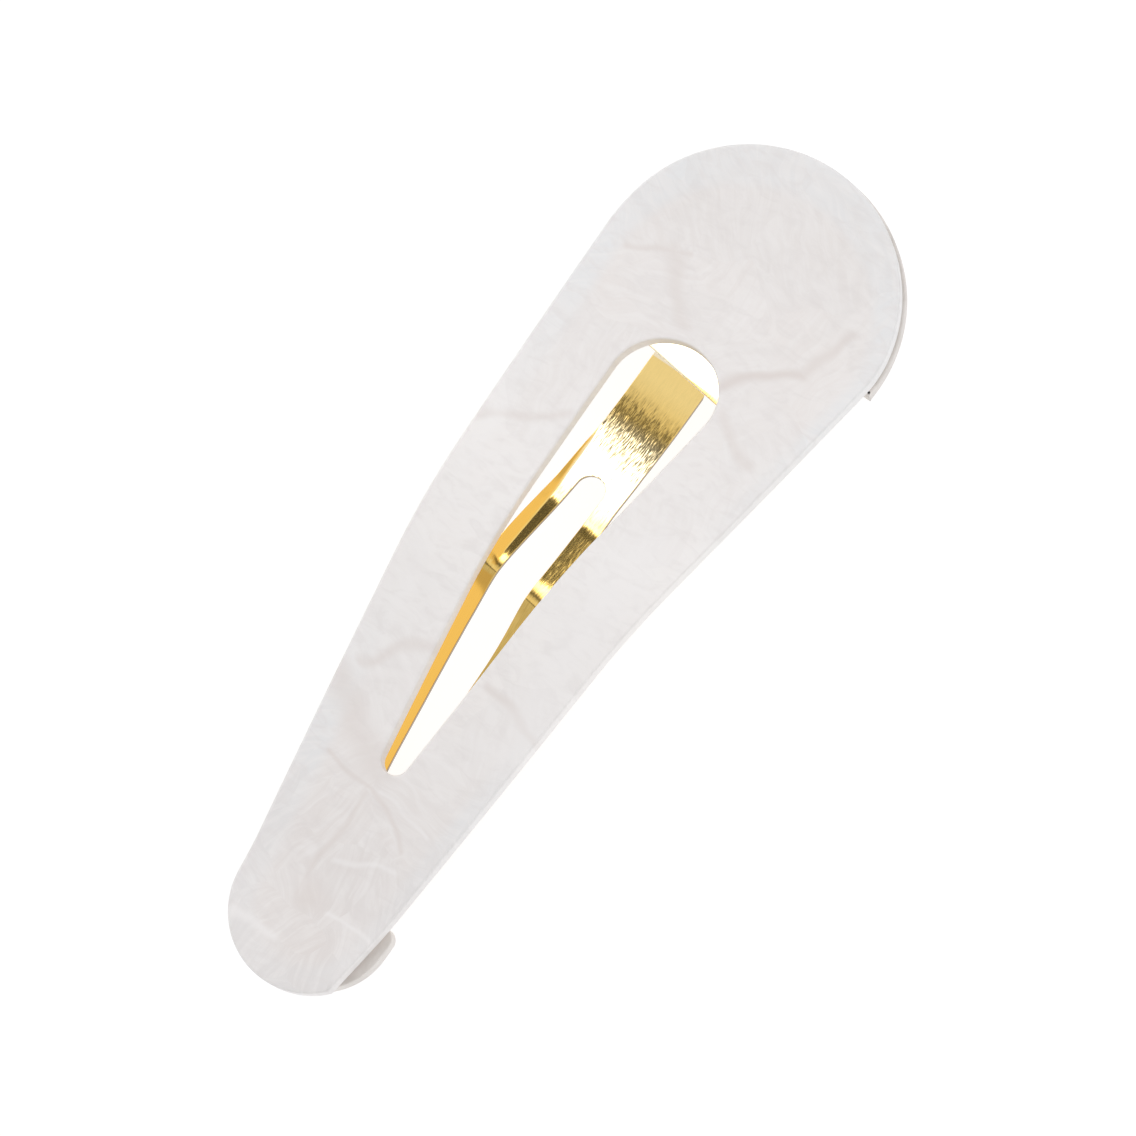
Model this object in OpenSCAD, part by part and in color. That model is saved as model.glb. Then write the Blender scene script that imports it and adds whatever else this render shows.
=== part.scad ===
// Snap hair clip: a bowed pearl plate with a teardrop window, two pads under its ends,
// and a sprung sheet-metal clip of a fixed frame and a forked tongue that swings open.
// X runs along the clip towards its wide end, Y across it, and Z away from the hair.

/* [Plate] */
// Length of the plate from tip to tip
plate_len = 80.7; // [76:0.1:88]
// Half width at the narrow end
narrow_r = 6.3; // [6:0.1:7.4]
// Distance that the narrow end's arc is centred off the middle line
narrow_skew = 0.6; // [0.1:0.05:0.7]
// Radius of the wide end
wide_r = 12.9; // [12:0.1:14]
// Radius of the slight bulge of the long sides
side_r = 1600; // [400:50:3000]
// Thickness of the plate
plate_t = 1.8; // [1.4:0.1:2.4]

/* [Bow] */
// Height at which the two slopes of the underside would meet
peak_h = 7.4; // [6:0.1:8.2]
// Place of the peak, from the middle of the clip
peak_x = -1.1; // [-3:0.1:1]
// Length of the level narrow end
narrow_level = 8.8; // [8:0.1:9.5]
// Length of the level wide end
wide_level = 12; // [10:0.1:13]
// Radius of the underside over the crest
crest_r = 20; // [14:1:30]
// Radius of the bends where the slopes meet the level ends
bend_r = 12; // [8:1:16]

/* [Window] */
// Length of the window
window_len = 42.5; // [40:0.5:44]
// Middle of the window's length, from the middle of the clip
window_x = 0.1; // [-1:0.1:1]
// Distance of the window off the plate's middle line
window_y = 0.2; // [0:0.05:0.4]
// Radius of the window's pointed end
window_tip_r = 1.2; // [1:0.1:1.5]
// Radius of the window's round end
window_round_r = 4.6; // [4.2:0.1:4.9]
// Radius of the bulge of the window's sides
window_side_r = 900; // [200:50:2000]

/* [Pads] */
// Thickness of both pads
pad_t = 1.8; // [1.4:0.1:2.4]
// Length of the pad under the wide end
wide_pad_len = 14; // [12:0.5:16]
// Overhang of the wide pad past the plate's wide tip
wide_pad_over = 0.3; // [0.1:0.05:0.5]
// Half width of the pad under the narrow end
narrow_pad_r = 6.3; // [5.8:0.1:6.6]
// Distance from the narrow tip in to its pad
narrow_pad_in = 0.7; // [0.4:0.1:1]
// Distance from the narrow tip to its pad's inner end
narrow_pad_len = 9.2; // [8.5:0.1:9.6]
// Distance of the narrow pad off the plate's middle line
narrow_pad_skew = 0.8; // [0:0.05:0.9]
// Radius of the corners at the narrow pad's inner end
pad_corner_r = 1; // [0.5:0.1:1.5]

/* [Frame] */
// Thickness of the sheet metal
sheet_t = 0.5; // [0.3:0.05:0.6]
// Gap between the sheet metal and what it lies against
seat_gap = 0.05; // [0.03:0.01:0.1]
// Distance from the plate's long edges in to the frame's edges
frame_inset = 1.6; // [1.2:0.1:2]
// Distance from the plate's narrow tip in to the frame's
frame_narrow_in = 2.2; // [1.6:0.1:2.6]
// Distance from the plate's wide tip in to the frame's
frame_wide_in = 3.4; // [2:0.1:4]
// Distance from the window's edge out to the frame's cut-out
cutout_margin = 1.2; // [1:0.1:1.6]

/* [Tongue] */
// Length of the tongue from its crease to its tip
tongue_len = 46; // [44:0.5:47]
// Place of the crease that the tongue swings on, from the middle of the clip
crease_x = 19.1; // [18.6:0.1:19.5]
// Width of the tongue's strip
tongue_w = 5.6; // [5:0.05:6]
// Distance of the tongue off the plate's middle line
tongue_y = 0.4; // [0:0.05:0.5]
// Slant of the tongue's creases: their shift along the clip for each millimetre across it
crease_slant = 0.13; // [0:0.01:0.16]
// Depth that the shares in the tongue's table are taken of
tongue_depth = 3; // [2.4:0.1:3.2]
// Share of the tongue's length from which its near edge begins to be turned up
near_turn = 0.46; // [0.4:0.01:0.5]
// Share of the tongue's length from which its near edge is turned up as far as the other
near_turned = 0.61; // [0.55:0.01:0.7]
// Gap between the tongue and the frame at the crease
crease_gap = 0.06; // [0.05:0.01:0.1]
// Angle that the tongue opens to
open_angle = 30; // [20:1:35]
// Angle past the opening angle that the tongue's end at the crease is cut back by
swing_spare = 2; // [1:1:5]
// Radius of the slot's round end
slot_r = 1.25; // [1:0.05:1.4]
// Half width of the slot at its widest, past the tongue's crest
slot_half_w = 1.6; // [1.4:0.05:1.7]
// Radius of the slot's narrow end
slot_tip_r = 0.6; // [0.4:0.05:0.7]
// Distance from the crease to the slot's round end
slot_start = 10.9; // [10.5:0.1:12]
// Distance from the tongue's tip in to the slot's narrow end
slot_tip_in = 3.5; // [3:0.5:5]

/* [Rivet] */
// Radius of the rivet through the narrow end
rivet_r = 0.9; // [0.7:0.05:1.1]
// Distance from the narrow tip in to the rivet
rivet_in = 7.5; // [7:0.1:7.8]
// Distance of the rivet off the plate's middle line
rivet_y = 0.8; // [0:0.1:1]
// Depth that the rivet reaches into the plate
rivet_bite = 0.9; // [0.6:0.1:1]
// Gap between the rivet and its hole
rivet_gap = 0.03; // [0.02:0.01:0.05]
// Recess of the rivet's foot above the pad's underside
rivet_recess = 0.2; // [0.1:0.05:0.4]

/* [Hidden] */

pearl = [0.93, 0.91, 0.91];
pad_beige = [0.85, 0.82, 0.79];
gold = [0.85, 0.68, 0.3];

// The level ends' underside stands this high over the pads' feet
seat_z = pad_t + sheet_t + 2 * seat_gap;
// The wide pad's overhang is counted in, so that the clip's middle is at X = 0
narrow_tip = -(plate_len + wide_pad_over) / 2;
wide_tip = narrow_tip + plate_len;
// Height that extrusions are cut from, taller than the clip
tall = 3 * (seat_z + peak_h + plate_t);
wide_side = 4 * wide_r;

// Points along an arc about c, of radius r, from angle a to angle b
function arc(c, r, a, b, n) = [for (i = [0:n]) c + r * [cos(a + (b - a) * i / n), sin(a + (b - a) * i / n)]];

// Centre of the long side's arc, of radius side, that the end circles of radius r0 about a
// and of radius r1 about b, both on the X axis, touch from inside
function side_centre(a, b, r0, r1, side) =
    let (p = side - r0, q = side - r1, d = b - a, x = a + (p * p - q * q + d * d) / (2 * d))
    [x, -sqrt(p * p - (x - a) * (x - a))];

// Upper half of a teardrop outline along X, from its narrow tip to its wide tip
function half_teardrop(x0, x1, r0, r1, side) =
    let (a = x0 + r0, b = x1 - r1, c = side_centre(a, b, r0, r1, side))
    let (t0 = atan2(-c[1], a - c[0]), t1 = atan2(-c[1], b - c[0]))
    concat(
        arc([a, 0], r0, 180, t0, 12),
        inner_points(arc(c, side, t0, t1, 12)),
        arc([b, 0], r1, t1, 0, 16)
    );

function inner_points(list) = [for (i = [1:len(list) - 2]) list[i]];
function flipped(half) = [for (i = [len(half) - 2:-1:1]) [half[i][0], -half[i][1]]];

module teardrop(x0, x1, r0, r1, side) {
    half = half_teardrop(x0, x1, r0, r1, side);
    polygon(concat(half, flipped(half)));
}

// The narrow end's arc, which leaves the far side smoothly and meets the near side in a corner
cap_r = narrow_r + narrow_skew;
cap_x = narrow_tip + cap_r;
wide_x = wide_tip - wide_r;
plate_side = side_centre(cap_x, wide_x, narrow_r, wide_r, side_r);

// The corner, where the arc of the cap about [cap_x, narrow_skew] crosses the side's arc
function cap_corner() =
    let (to = plate_side - [cap_x, narrow_skew], d = norm(to), e = to / d)
    let (a = (cap_r * cap_r - side_r * side_r + d * d) / (2 * d), h = sqrt(max(0, cap_r * cap_r - a * a)))
    [cap_x, narrow_skew] + a * e + h * [e[1], -e[0]];

// The plate's outline
module outline() {
    t0 = atan2(-plate_side[1], cap_x - plate_side[0]);
    t1 = atan2(-plate_side[1], wide_x - plate_side[0]);
    corner = cap_corner();
    tc = atan2(corner[1] - narrow_skew, corner[0] - cap_x);
    ts = atan2(corner[1] - plate_side[1], corner[0] - plate_side[0]);
    far = concat(
        arc([cap_x, -narrow_skew], cap_r, 180, t0, 12),
        inner_points(arc(plate_side, side_r, t0, t1, 12)),
        arc([wide_x, 0], wide_r, t1, 0, 16)
    );
    near = concat(
        arc([cap_x, narrow_skew], cap_r, 180, tc, 12),
        inner_points(arc(plate_side, side_r, ts, t1, 12)),
        arc([wide_x, 0], wide_r, t1, 0, 16)
    );
    polygon(concat(far, flipped(near)));
}

// The window's outline, moved outwards by d
module window(d) {
    translate([0, window_y])
        teardrop(
            window_x - window_len / 2 - d,
            window_x + window_len / 2 + d,
            window_tip_r + d,
            window_round_r + d,
            window_side_r + d
        );
}

// Corners of the underside in side view, before they are rounded
bend_a = [narrow_tip + narrow_level, 0];
peak = [peak_x, peak_h];
bend_b = [wide_tip - wide_level, 0];

function slope_angle(p, q) = atan2(q[1] - p[1], q[0] - p[0]);

// Points with the path's angle, round a corner at q between p and s, with radius r
function rounded(p, q, s, r, n) =
    let (a = slope_angle(p, q), b = slope_angle(q, s), turn = b - a)
    let (reach = r * tan(abs(turn) / 2), side = turn > 0 ? 1 : -1)
    let (start = q - reach * [cos(a), sin(a)])
    let (c = start + side * r * [-sin(a), cos(a)])
    [for (i = [0:n]) let (t = a + turn * i / n) [c[0] + side * r * sin(t), c[1] - side * r * cos(t), t]];

// The underside of the plate in side view: [x, z, angle]
under = concat(
    [[narrow_tip - 1, 0, 0]],
    rounded([narrow_tip, 0], bend_a, peak, bend_r, 6),
    rounded(bend_a, peak, bend_b, crest_r, 14),
    rounded(peak, bend_b, [wide_tip, 0], bend_r, 6),
    [[wide_tip + 1, 0, 0]]
);

// A path moved by d along its normals
function moved(path, d) = [for (p = path) [p[0] - d * sin(p[2]), p[1] + d * cos(p[2])]];
function reversed(list) = [for (i = [len(list) - 1:-1:0]) list[i]];

// Height of the underside above the level ends at a place x
function under_z(x) = lookup(x, [for (p = under) [p[0], p[1]]]);

// A sheet that follows the underside, from d0 to d1 along its normals, right across the clip
module bowed_sheet(d0, d1) {
    translate([0, 0, seat_z])
        rotate([90, 0, 0])
            linear_extrude(height = wide_side, center = true)
                polygon(concat(moved(under, d0), reversed(moved(under, d1))));
}

// What an outline cuts out of everything above and below it
module column() {
    translate([0, 0, -tall])
        linear_extrude(height = 2 * tall)
            children();
}

rivet_x = narrow_tip + rivet_in;
rivet_top = seat_z + under_z(rivet_x) + rivet_bite;

module plate() {
    color(pearl)
        difference() {
            intersection() {
                bowed_sheet(0, plate_t);
                column()
                    outline();
            }
            column()
                window(0);
            translate([rivet_x, rivet_y, 0])
                cylinder(r = rivet_r + rivet_gap, h = rivet_top + rivet_gap, $fn = 48);
        }
}

// The wide pad keeps the plate's outline, moved out past its tip
module wide_pad() {
    color(pad_beige)
        linear_extrude(height = pad_t)
            intersection() {
                translate([wide_pad_over, 0])
                    outline();
                translate([wide_tip + wide_pad_over - wide_pad_len, -wide_side / 2])
                    square([wide_pad_len + 1, wide_side]);
            }
}

// The narrow pad is a round end with straight sides and two rounded corners
module narrow_pad() {
    pad_x = narrow_tip + narrow_pad_in + narrow_pad_r;
    corner_x = narrow_tip + narrow_pad_len - pad_corner_r;
    corner_y = narrow_pad_r - pad_corner_r;
    color(pad_beige)
        difference() {
            translate([0, -narrow_pad_skew, 0])
                linear_extrude(height = pad_t)
                    polygon(concat(
                        arc([pad_x, 0], narrow_pad_r, 270, 90, 24),
                        arc([corner_x, corner_y], pad_corner_r, 90, 0, 5),
                        arc([corner_x, -corner_y], pad_corner_r, 0, -90, 5)
                    ));
            translate([rivet_x, rivet_y, -1])
                cylinder(r = rivet_r + rivet_gap, h = pad_t + 2, $fn = 48);
        }
}

frame_cut_x = crease_x + crease_gap;

module frame() {
    color(gold)
        difference() {
            intersection() {
                bowed_sheet(-seat_gap - sheet_t, -seat_gap);
                column()
                    teardrop(
                        narrow_tip + frame_narrow_in,
                        wide_tip - frame_wide_in,
                        narrow_r - frame_inset,
                        wide_r - frame_inset,
                        side_r - frame_inset
                    );
            }
            intersection() {
                column()
                    window(cutout_margin);
                translate([frame_cut_x, tongue_y, -tall])
                    rotate([0, 0, -atan(crease_slant)])
                        translate([-plate_len, -wide_side / 2, 0])
                            cube([plate_len, wide_side, 2 * tall]);
            }
            translate([rivet_x, rivet_y, 0])
                cylinder(r = rivet_r + rivet_gap, h = tall, $fn = 48);
        }
}

// The tongue's sections. Each row: along is a share of the length from the crease, fold and edge
// are shares of half the width, and the two depths below the plate are shares of tongue_depth,
// of the flat up to its fold and of the turned-up far edge.
tongue_columns = ["along", "fold", "edge", "flat depth", "edge depth"];
tongue_rows = [
    [0.000, 0.97, 1.00, 0.020, 0.020],
    [0.045, 0.97, 1.00, 0.194, 0.194],
    [0.070, 0.97, 1.00, 0.285, 0.285],
    [0.093, 0.97, 1.00, 0.357, 0.357],
    [0.116, 0.97, 1.00, 0.414, 0.414],
    [0.137, 0.96, 1.00, 0.453, 0.453],
    [0.158, 0.96, 1.00, 0.482, 0.482],
    [0.180, 0.95, 1.00, 0.502, 0.485],
    [0.205, 0.93, 1.01, 0.518, 0.440],
    [0.270, 0.86, 1.02, 0.549, 0.400],
    [0.310, 0.82, 1.06, 0.567, 0.370],
    [0.320, 0.82, 1.07, 0.562, 0.360],
    [0.370, 0.81, 1.11, 0.471, 0.270],
    [0.415, 0.80, 1.13, 0.314, 0.130],
    [0.443, 0.78, 1.14, 0.180, 0.050],
    [0.454, 0.75, 1.14, 0.126, 0.030],
    [0.466, 0.70, 1.14, 0.074, 0.020],
    [0.476, 0.66, 1.14, 0.042, 0.020],
    [0.484, 0.63, 1.14, 0.025, 0.020],
    [0.491, 0.61, 1.13, 0.030, 0.020],
    [0.510, 0.57, 1.13, 0.100, 0.020],
    [0.560, 0.52, 1.10, 0.330, 0.120],
    [0.610, 0.40, 1.06, 0.510, 0.250],
    [0.740, 0.30, 0.90, 0.660, 0.400],
    [0.870, 0.16, 0.74, 0.680, 0.440],
    [0.935, 0.12, 0.58, 0.600, 0.420],
    [1.000, 0.10, 0.36, 0.450, 0.360]
];

// The slot's half widths. Each row: reach is a share of the way from the slot's round end to its
// narrow end, and spread a share of the widest half width.
slot_columns = ["reach", "spread"];
slot_rows = [
    [0.12, 0.84],
    [0.31, 0.97],
    [0.49, 1.00],
    [0.66, 0.88],
    [0.79, 0.73],
    [0.92, 0.54]
];

// The value in a row's named column
function value(row, name, columns) = row[search([name], columns)[0]];
function tongue_value(row, name) = value(row, name, tongue_columns);

// Sheet height straight down, so that a leaning part keeps the sheet's thickness
function leaning_t(dy, dz) = sheet_t * sqrt(1 + (dz / dy) * (dz / dy));

// One point of a section at x: its place, the height of its top and the sheet's height there
function sheet_point(x, y, depth, t) =
    let (xs = x + crease_slant * y)
    [xs, y, seat_z + under_z(xs) - depth * tongue_depth, t];

// How far the near edge is turned up at a share of the length, as a share of the far edge's turn
function near_share(along) = min(max((along - near_turn) / (near_turned - near_turn), 0), 1);

// One row as four points across: the near edge, the flat's two folds and the far edge
function section(r) =
    let (along = tongue_value(r, "along"), x = crease_x - along * tongue_len, half = tongue_w / 2)
    let (yf = tongue_value(r, "fold") * half, ye = tongue_value(r, "edge") * half)
    let (flat = tongue_value(r, "flat depth"), far = tongue_value(r, "edge depth"))
    let (near = flat + near_share(along) * (far - flat))
    let (near_t = leaning_t(ye - yf, (near - flat) * tongue_depth))
    let (far_t = leaning_t(ye - yf, (far - flat) * tongue_depth))
    [
        sheet_point(x, -ye, near, near_t),
        sheet_point(x, -yf, flat, (sheet_t + near_t) / 2),
        sheet_point(x, yf, flat, (sheet_t + far_t) / 2),
        sheet_point(x, ye, far, far_t)
    ];

module tongue_sheet() {
    rows = [for (r = tongue_rows) section(r)];
    n = len(rows);
    // The first section's underside is set back, which leaves room for the swing
    set_back = sheet_t * tan(open_angle + swing_spare);
    top = [for (s = rows) for (p = s) [p[0], p[1], p[2]]];
    bottom = [for (i = [0:n - 1]) for (p = rows[i]) [p[0] - (i == 0 ? set_back : 0), p[1], p[2] - p[3]]];
    w = 4;
    m = n * w;
    skin = [for (i = [0:n - 2]) for (j = [0:w - 2])
        [i * w + j, (i + 1) * w + j, (i + 1) * w + j + 1, i * w + j + 1]];
    faces = concat(
        [for (f = skin) each [[f[0], f[1], f[2]], [f[0], f[2], f[3]]]],
        [for (f = skin) each [[f[2] + m, f[1] + m, f[0] + m], [f[3] + m, f[2] + m, f[0] + m]]],
        [for (i = [0:n - 2]) let (a = i * w, b = a + w) each [
            [a, b + m, b],
            [a, a + m, b + m]]],
        [for (i = [0:n - 2]) let (a = i * w + w - 1, b = a + w) each [
            [b, a + m, a],
            [b, b + m, a + m]]],
        [for (j = [0:w - 2]) each [[j + 1, j + m, j], [j + 1, j + 1 + m, j + m]]],
        [for (j = [0:w - 2]) let (k = m - w + j) each [[k, k + 1 + m, k + 1], [k, k + m, k + 1 + m]]]
    );
    polyhedron(points = concat(top, bottom), faces = faces, convexity = 6);
}

// The slot, from its round end by the strip to its narrow end by the tip
module slot() {
    x0 = crease_x - slot_start;
    x1 = crease_x - tongue_len + slot_tip_in;
    side = [for (r = slot_rows)
        [x0 + value(r, "reach", slot_columns) * (x1 - x0), value(r, "spread", slot_columns) * slot_half_w]];
    column()
        polygon(concat(
            arc([x0 - slot_r, 0], slot_r, -90, 90, 12),
            side,
            arc([x1 + slot_tip_r, 0], slot_tip_r, 90, 270, 8),
            reversed([for (p = side) [p[0], -p[1]]])
        ));
}

module tongue() {
    color(gold)
        translate([0, tongue_y, 0])
            difference() {
                tongue_sheet();
                slot();
            }
}

module rivet() {
    color(gold)
        translate([rivet_x, rivet_y, rivet_recess])
            cylinder(r = rivet_r, h = rivet_top - rivet_recess, $fn = 48);
}

plate();
wide_pad();
narrow_pad();
frame();
tongue();
rivet();
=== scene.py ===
"""A snap hair clip: a bowed pearl-acetate plate with a teardrop window, two pads and a gold clip."""

import math
from bisect import bisect
from collections import namedtuple

import bmesh
import bpy
from mathutils import Matrix, Vector


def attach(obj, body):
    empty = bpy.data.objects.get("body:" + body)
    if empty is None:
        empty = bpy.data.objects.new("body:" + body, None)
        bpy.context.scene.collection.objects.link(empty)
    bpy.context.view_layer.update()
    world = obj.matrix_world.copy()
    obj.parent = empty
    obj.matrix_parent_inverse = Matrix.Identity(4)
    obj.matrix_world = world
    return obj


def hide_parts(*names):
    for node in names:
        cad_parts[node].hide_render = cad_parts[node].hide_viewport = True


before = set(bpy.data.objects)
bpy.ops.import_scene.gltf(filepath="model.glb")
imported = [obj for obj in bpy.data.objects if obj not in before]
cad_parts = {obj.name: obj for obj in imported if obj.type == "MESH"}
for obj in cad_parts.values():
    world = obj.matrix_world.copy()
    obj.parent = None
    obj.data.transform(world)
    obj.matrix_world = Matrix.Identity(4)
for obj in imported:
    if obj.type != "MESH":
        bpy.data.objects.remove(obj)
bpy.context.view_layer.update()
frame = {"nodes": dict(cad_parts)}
nodes = frame["nodes"]
MM = 0.001

# Plate, in millimetres, with the same values as the solid that it replaces
PLATE_LEN = 80.7
NARROW_R = 6.3
NARROW_SKEW = 0.6
WIDE_R = 12.9
SIDE_R = 1600
PLATE_T = 1.8
WIDE_PAD_OVER = 0.3
PEAK_H = 7.4
PEAK_X = -1.1
NARROW_LEVEL = 8.8
WIDE_LEVEL = 12
CREST_R = 20
BEND_R = 12
SEAT_Z = 2.4
NARROW_TIP = -(PLATE_LEN + WIDE_PAD_OVER) / 2
WIDE_TIP = NARROW_TIP + PLATE_LEN

# Window in the plate
WINDOW_LEN = 42.5
WINDOW_X = 0.1
WINDOW_Y = 0.2
WINDOW_TIP_R = 1.2
WINDOW_ROUND_R = 4.6
WINDOW_SIDE_R = 900

# Pads under the ends
PAD_T = 1.8
WIDE_PAD_LEN = 14
NARROW_PAD_R = 6.3
NARROW_PAD_IN = 0.7
NARROW_PAD_LEN = 9.2
NARROW_PAD_SKEW = 0.8
PAD_CORNER_R = 1

# Sheet metal
SHEET_T = 0.5
SEAT_GAP = 0.05
FRAME_INSET = 1.6
FRAME_NARROW_IN = 2.2
FRAME_WIDE_IN = 3.4
CUTOUT_MARGIN = 1.2
CREASE_X = 19.1
CREASE_GAP = 0.06
CREASE_SLANT = 0.13

# Tongue
TONGUE_LEN = 46
TONGUE_W = 5.6
TONGUE_Y = 0.4
TONGUE_DEPTH = 3
NEAR_TURN = 0.46
NEAR_TURNED = 0.61
OPEN_ANGLE = 30
SWING_SPARE = 2
SLOT_R = 1.25
SLOT_HALF_W = 1.6
SLOT_TIP_R = 0.6
SLOT_START = 10.9
SLOT_TIP_IN = 3.5

# Rivet
RIVET_IN = 7.5
RIVET_Y = 0.8
RIVET_HOLE_R = 0.93
RIVET_HOLE = NARROW_TIP + RIVET_IN

# The tongue's sections: shares of its length, of half its width and of TONGUE_DEPTH
Section = namedtuple("Section", "along fold edge flat_depth edge_depth")
SECTIONS = [
    Section(0.000, 0.97, 1.00, 0.020, 0.020),
    Section(0.045, 0.97, 1.00, 0.194, 0.194),
    Section(0.070, 0.97, 1.00, 0.285, 0.285),
    Section(0.093, 0.97, 1.00, 0.357, 0.357),
    Section(0.116, 0.97, 1.00, 0.414, 0.414),
    Section(0.137, 0.96, 1.00, 0.453, 0.453),
    Section(0.158, 0.96, 1.00, 0.482, 0.482),
    Section(0.180, 0.95, 1.00, 0.502, 0.485),
    Section(0.205, 0.93, 1.01, 0.518, 0.440),
    Section(0.270, 0.86, 1.02, 0.549, 0.400),
    Section(0.310, 0.82, 1.06, 0.567, 0.370),
    Section(0.320, 0.82, 1.07, 0.562, 0.360),
    Section(0.370, 0.81, 1.11, 0.471, 0.270),
    Section(0.415, 0.80, 1.13, 0.314, 0.130),
    Section(0.443, 0.78, 1.14, 0.180, 0.050),
    Section(0.454, 0.75, 1.14, 0.126, 0.030),
    Section(0.466, 0.70, 1.14, 0.074, 0.020),
    Section(0.476, 0.66, 1.14, 0.042, 0.020),
    Section(0.484, 0.63, 1.14, 0.025, 0.020),
    Section(0.491, 0.61, 1.13, 0.030, 0.020),
    Section(0.510, 0.57, 1.13, 0.100, 0.020),
    Section(0.560, 0.52, 1.10, 0.330, 0.120),
    Section(0.610, 0.40, 1.06, 0.510, 0.250),
    Section(0.740, 0.30, 0.90, 0.660, 0.400),
    Section(0.870, 0.16, 0.74, 0.680, 0.440),
    Section(0.935, 0.12, 0.58, 0.600, 0.420),
    Section(1.000, 0.10, 0.36, 0.450, 0.360),
]

# The slot's half widths: shares of the way along it and of SLOT_HALF_W
Spread = namedtuple("Spread", "reach spread")
SPREADS = [
    Spread(0.12, 0.84),
    Spread(0.31, 0.97),
    Spread(0.49, 1.00),
    Spread(0.66, 0.88),
    Spread(0.79, 0.73),
    Spread(0.92, 0.54),
]

# Radius of the polished edges of the acetate
ACETATE_EDGE = 0.22
# Radius of the tumbled edges of the sheet metal
SHEET_EDGE = 0.05
# Softness of the fold between the tongue's flat and its turned-up edge
FOLD_SOFT = 0.08
# Distance at which points of a mesh are made one
TOUCHING = 0.001
# Name of the mesh attribute that is 1 on the tongue's turned-up far edge, where the gold carries a painted
# orange reflection
TURNED_UP = "turned_up"
# Length over which each bend along the tongue is rounded
BEND_SOFT = 0.5
# Gap that shows between the tongue's crease and the frame
SEAM = 0.02
# Steps along the tongue, and the share of its length from which its first fold has steps of its own
TONGUE_STEPS = 230
FOLD_STEPS = 20
FOLD_FROM = 0.3
FOLD_SPAN = 0.03
# Steps of the arcs at the slot's round and narrow ends, in degrees
ROUND_STEP = 5
NARROW_STEP = 9
# Steps closer than this are made one
CLOSE = 0.01
# Length over which the creases lose their slant on the way to the slot
SLANT_FADE = 3
# Slope across from which the far edge counts as turned up
TURNED_SLOPE = 0.05
# Angle between two faces, in degrees, from which the tongue's edge between them is rounded
SHARP_ANGLE = 50
# How far the side profile runs on past both tips
PAST_TIPS = 5
# Steps round the profile's two bends and its crest
BEND_N, CREST_N = 24, 48
# Steps across the top and the underside of the plate, the frame and the narrow pad
PLATE_STEPS = 36
FRAME_STEPS = 24
PAD_STEPS = 12
# Steps round each rounded edge of a slab with a hole, and of one without
HOLED_EDGE_N, PLAIN_EDGE_N = 5, 4
# Steps round the narrow pad's round end and its two corners
PAD_ROUND_N, PAD_CORNER_N = 72, 10


def held(value, top=1):
    """A value held between 0 and a top."""
    return min(max(value, 0), top)


def arc(centre, radius, a, b, n):
    """n + 1 points along an arc from angle a to angle b, in degrees."""
    points = []
    for i in range(n + 1):
        t = math.radians(a + (b - a) * i / n)
        points.append((centre[0] + radius * math.cos(t), centre[1] + radius * math.sin(t)))
    return points


def angle_of(centre, point):
    return math.degrees(math.atan2(point[1] - centre[1], point[0] - centre[0]))


def side_centre(a, b, r0, r1, side):
    """Centre of a long side's arc, which the end circles at a and b on the X axis touch from inside."""
    p, q, d = side - r0, side - r1, b - a
    x = a + (p * p - q * q + d * d) / (2 * d)
    return (x, -math.sqrt(p * p - (x - a) ** 2))


def mirrored(points):
    return [(x, -y) for x, y in points]


def loop_of(far, near):
    """One closed loop of points from a far half and a mirrored near half that share both ends."""
    return far + mirrored(near)[-2:0:-1]


# Points along the cap, the side and the wide arc of each half
CAP_N, SIDE_N, WIDE_N = 56, 90, 72


def teardrop(x0, x1, r0, r1, side, y):
    a, b = x0 + r0, x1 - r1
    c = side_centre(a, b, r0, r1, side)
    t0, t1 = angle_of(c, (a, 0)), angle_of(c, (b, 0))
    caps = arc((a, 0), r0, 180, t0, CAP_N), arc((b, 0), r1, t1, 0, WIDE_N)
    half = caps[0] + arc(c, side, t0, t1, SIDE_N)[1:-1] + caps[1]
    return [(px, py + y) for px, py in loop_of(half, half)]


def plate_outline():
    cap_r = NARROW_R + NARROW_SKEW
    cap_x = NARROW_TIP + cap_r
    wide_x = WIDE_TIP - WIDE_R
    c = side_centre(cap_x, wide_x, NARROW_R, WIDE_R, SIDE_R)
    t0, t1 = angle_of(c, (cap_x, 0)), angle_of(c, (wide_x, 0))
    to = (c[0] - cap_x, c[1] - NARROW_SKEW)
    d = math.hypot(*to)
    e = (to[0] / d, to[1] / d)
    a = (cap_r**2 - SIDE_R**2 + d * d) / (2 * d)
    h = math.sqrt(max(0, cap_r**2 - a * a))
    corner = (cap_x + a * e[0] + h * e[1], NARROW_SKEW + a * e[1] - h * e[0])
    tc, ts = angle_of((cap_x, NARROW_SKEW), corner), angle_of(c, corner)
    wide = arc((wide_x, 0), WIDE_R, t1, 0, WIDE_N)
    far = arc((cap_x, -NARROW_SKEW), cap_r, 180, t0, CAP_N) + arc(c, SIDE_R, t0, t1, SIDE_N)[1:-1] + wide
    near = arc((cap_x, NARROW_SKEW), cap_r, 180, tc, CAP_N) + arc(c, SIDE_R, ts, t1, SIDE_N)[1:-1] + wide
    return loop_of(far, near)


def slope_angle(p, q):
    return math.atan2(q[1] - p[1], q[0] - p[0])


def rounded(p, q, s, r, n):
    """Points (x, z, angle) round the corner at q between p and s."""
    a, b = slope_angle(p, q), slope_angle(q, s)
    turn = b - a
    reach = r * math.tan(abs(turn) / 2)
    side = 1 if turn > 0 else -1
    start = (q[0] - reach * math.cos(a), q[1] - reach * math.sin(a))
    c = (start[0] - side * r * math.sin(a), start[1] + side * r * math.cos(a))
    points = []
    for i in range(n + 1):
        t = a + turn * i / n
        points.append((c[0] + side * r * math.sin(t), c[1] - side * r * math.cos(t), t))
    return points


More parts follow.
